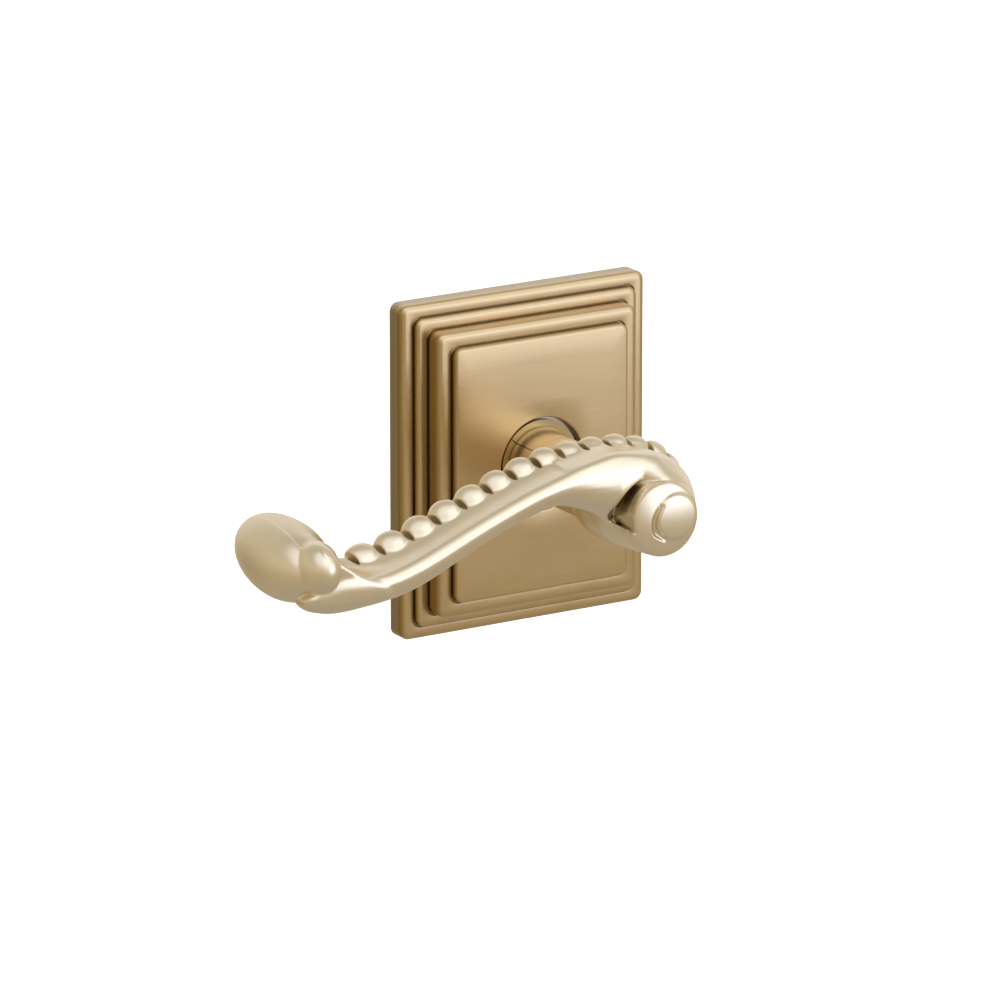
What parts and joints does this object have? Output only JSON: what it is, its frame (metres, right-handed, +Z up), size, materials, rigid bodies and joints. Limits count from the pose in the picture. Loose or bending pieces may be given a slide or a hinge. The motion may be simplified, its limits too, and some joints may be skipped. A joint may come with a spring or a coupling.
{
  "type": "lever handle lockset",
  "caption": "Scroll lever handle with a beaded back on a stepped rectangular rosette, with its sprung hub, square spindle and through-bolt posts.",
  "frame": {"origin": "on the spindle axis, at the door face the rosette sits against", "axes": "+Y points into the door along the spindle, so the rosette faces -Y; +Z is up; the lever arm lies along -X"},
  "size_m": [0.1308, 0.1162, 0.0812],
  "materials": {
    "trim_brass": "satin brushed, golden",
    "lever_brass": "satin, pale champagne",
    "steel": "zinc plated",
    "plated_steel": "zinc plated sheet",
    "spring_steel": "oiled spring wire and strip",
    "zinc_casting": null,
    "nylon": "natural nylon",
    "fibre": "black pressed fibre"
  },
  "bodies": {
    "rose": {"rosette": "trim_brass", "rosette_screws": "steel", "mounting_plate": "plated_steel", "door_gasket": "fibre", "bore_locating_ring": "nylon", "threaded_posts": "steel", "cassette_housing": "zinc_casting", "cassette_cover": "plated_steel", "cassette_screws": "steel", "stop_pins": "steel", "rear_bushing": "nylon", "front_bushing": "nylon"},
    "lever": {"lever": "lever_brass", "neck_sleeve": "trim_brass", "lever_set_screw": "steel", "hub": "zinc_casting", "spindle": "steel", "spindle_pin": "steel", "thrust_washer": "steel", "spring_washer": "spring_steel", "retaining_ring": "spring_steel", "return_spring": "spring_steel"}
  },
  "joints": [
    {"name": "lever_turn", "type": "hinge", "parent": "rose", "child": "lever", "pos_m": [0, 0, 0], "axis": [0, -1, 0], "range_deg": [-45, 45], "stiffness_Nm_per_rad": 1.1, "deforming": ["return_spring"]}
  ]
}
